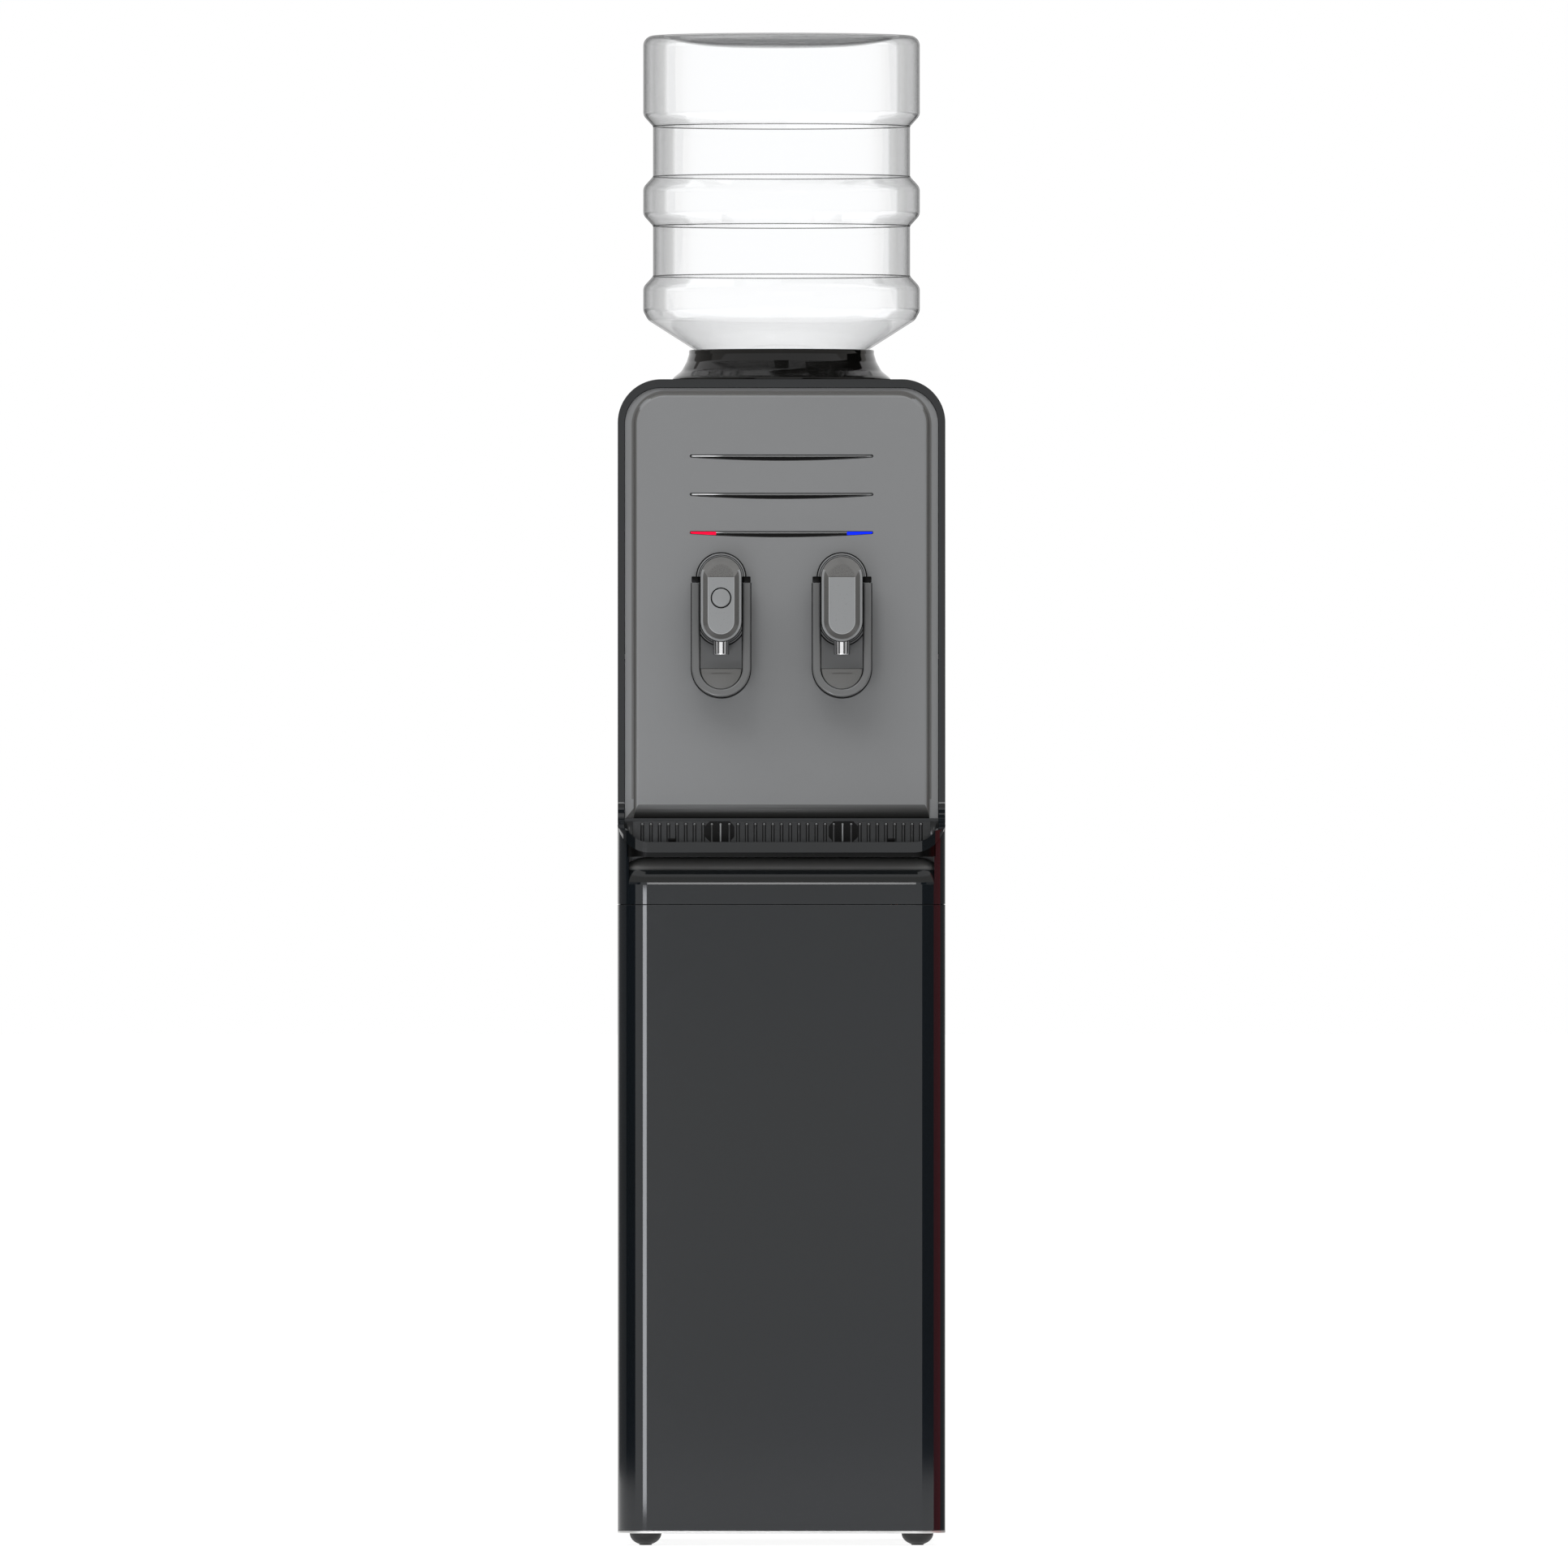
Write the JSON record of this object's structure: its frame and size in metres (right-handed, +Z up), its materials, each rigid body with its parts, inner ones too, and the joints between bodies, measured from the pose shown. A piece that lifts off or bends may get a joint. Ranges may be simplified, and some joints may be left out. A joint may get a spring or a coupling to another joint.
{
  "type": "water dispenser",
  "caption": "Floor-standing bottle-top water dispenser with hot and cold push taps, a lift-out drip tray and a glossy black cabinet.",
  "frame": {"origin": "on the floor under the middle of the whole object", "axes": "+Z up, +X to the right of someone facing the taps, +Y from the front to the back"},
  "size_m": [0.318, 0.33, 1.4667],
  "materials": {
    "satin_grey_plastic": "satin",
    "light_grey_plastic": "satin gloss",
    "gloss_black_plastic": "high gloss",
    "gloss_black_sheet": "gloss paint",
    "matt_black_plastic": "matt",
    "chrome": "polished",
    "clear_bottle": "clear",
    "cap_blue": "satin",
    "red_light": "gloss",
    "blue_light": "gloss",
    "bare_steel": "brushed",
    "zinc_sheet": "zinc grey",
    "foam": "rough foam",
    "copper_tube": "drawn",
    "silicone_hose": "satin",
    "black_enamel": "matt enamel",
    "foot_rubber": "matt",
    "tank_wall": "brushed steel look"
  },
  "bodies": {
    "cabinet": {"base_pan": "zinc_sheet", "foot_front_left": "foot_rubber", "foot_front_right": "foot_rubber", "foot_rear_left": "foot_rubber", "foot_rear_right": "foot_rubber", "lower_front_panel": "gloss_black_sheet", "lower_side_left": "gloss_black_sheet", "lower_side_right": "gloss_black_sheet", "lower_rear_panel": "gloss_black_sheet", "waist_shell": "gloss_black_plastic", "upper_side_left": "gloss_black_sheet", "upper_side_right": "gloss_black_sheet", "top_cover": "gloss_black_plastic", "upper_rear_panel": "gloss_black_sheet", "front_bezel": "gloss_black_plastic", "tap_panel": "satin_grey_plastic", "hot_light": "red_light", "cold_light": "blue_light", "tank_shelf": "zinc_sheet", "cold_tank": "bare_steel", "evaporator": "copper_tube", "tank_insulation": "foam", "cold_hose": "silicone_hose", "hot_tank": "tank_wall", "heater_band": "zinc_sheet", "hot_hose": "silicone_hose", "drain_pipe": "bare_steel", "compressor": "black_enamel", "suction_line": "copper_tube", "condenser": "black_enamel", "condenser_frame": "matt_black_plastic", "switch_plate": "matt_black_plastic", "mains_inlet": "matt_black_plastic", "hot_escutcheon": "satin_grey_plastic", "hot_tap_body": "matt_black_plastic", "hot_tap_head": "light_grey_plastic", "hot_nozzle": "chrome", "hot_tap_nut": "bare_steel", "cold_escutcheon": "satin_grey_plastic", "cold_tap_body": "matt_black_plastic", "cold_tap_head": "light_grey_plastic", "cold_nozzle": "chrome", "cold_tap_nut": "bare_steel"},
    "hot_lever": {"hot_lever": "satin_grey_plastic", "hot_pivot_pin": "matt_black_plastic"},
    "cold_lever": {"cold_lever": "satin_grey_plastic", "cold_pivot_pin": "matt_black_plastic"},
    "hot_valve": {"hot_valve_stem": "bare_steel"},
    "cold_valve": {"cold_valve_stem": "bare_steel"},
    "hot_button": {"hot_safety_button": "light_grey_plastic"},
    "collar": {"bottle_collar": "gloss_black_plastic", "bottle_probe": "matt_black_plastic"},
    "bottle": {"bottle": "clear_bottle", "bottle_cap": "cap_blue"},
    "tray": {"drip_tray": "matt_black_plastic"},
    "grille": {"drip_grille": "matt_black_plastic"},
    "hot_rocker": {"hot_switch": "red_light"},
    "cold_rocker": {"cold_switch": "blue_light"},
    "drain_cap": {"drain_cap": "matt_black_plastic"}
  },
  "joints": [
    {"name": "hot_lever_hinge", "type": "hinge", "parent": "cabinet", "child": "hot_lever", "pos_m": [-0.0586, -0.112, 0.936], "axis": [1, 0, 0], "range_deg": [0, 15], "stiffness_Nm_per_rad": 1, "springref_deg": -2.86},
    {"name": "hot_valve_lift", "type": "slide", "parent": "cabinet", "child": "hot_valve", "axis": [0, 0, 1], "range_m": [0, 0.0035]},
    {"name": "cold_lever_hinge", "type": "hinge", "parent": "cabinet", "child": "cold_lever", "pos_m": [0.0586, -0.112, 0.936], "axis": [1, 0, 0], "range_deg": [0, 15], "stiffness_Nm_per_rad": 1, "springref_deg": -2.86},
    {"name": "cold_valve_lift", "type": "slide", "parent": "cabinet", "child": "cold_valve", "axis": [0, 0, 1], "range_m": [0, 0.0035]},
    {"name": "hot_button_press", "type": "slide", "parent": "cabinet", "child": "hot_button", "axis": [0, 1, 0], "range_m": [0, 0.0025], "stiffness_N_per_m": 300, "springref_m": -0.002},
    {"name": "collar_lift", "type": "slide", "parent": "cabinet", "child": "collar", "axis": [0, 0, 1], "range_m": [0, 0.06]},
    {"name": "bottle_lift", "type": "slide", "parent": "collar", "child": "bottle", "axis": [0, 0, 1], "range_m": [0, 0.12]},
    {"name": "tray_lift", "type": "slide", "parent": "cabinet", "child": "tray", "axis": [0, 0, 1], "range_m": [0, 0.05]},
    {"name": "grille_lift", "type": "slide", "parent": "tray", "child": "grille", "axis": [0, 0, 1], "range_m": [0, 0.03]},
    {"name": "hot_switch_rock", "type": "hinge", "parent": "cabinet", "child": "hot_rocker", "pos_m": [0.097, 0.1446, 0.93], "axis": [1, 0, 0], "range_deg": [-14, 0]},
    {"name": "cold_switch_rock", "type": "hinge", "parent": "cabinet", "child": "cold_rocker", "pos_m": [0.063, 0.1446, 0.93], "axis": [1, 0, 0], "range_deg": [-14, 0]},
    {"name": "drain_cap_turn", "type": "hinge", "parent": "cabinet", "child": "drain_cap", "pos_m": [-0.055, 0.153, 0.725], "axis": [0, 1, 0], "range_deg": [0, 360]}
  ],
  "couplings": [
    {"joint": "hot_valve_lift", "follows": "hot_lever_hinge", "m_per_rad": 0.0115},
    {"joint": "cold_valve_lift", "follows": "cold_lever_hinge", "m_per_rad": 0.0115}
  ]
}
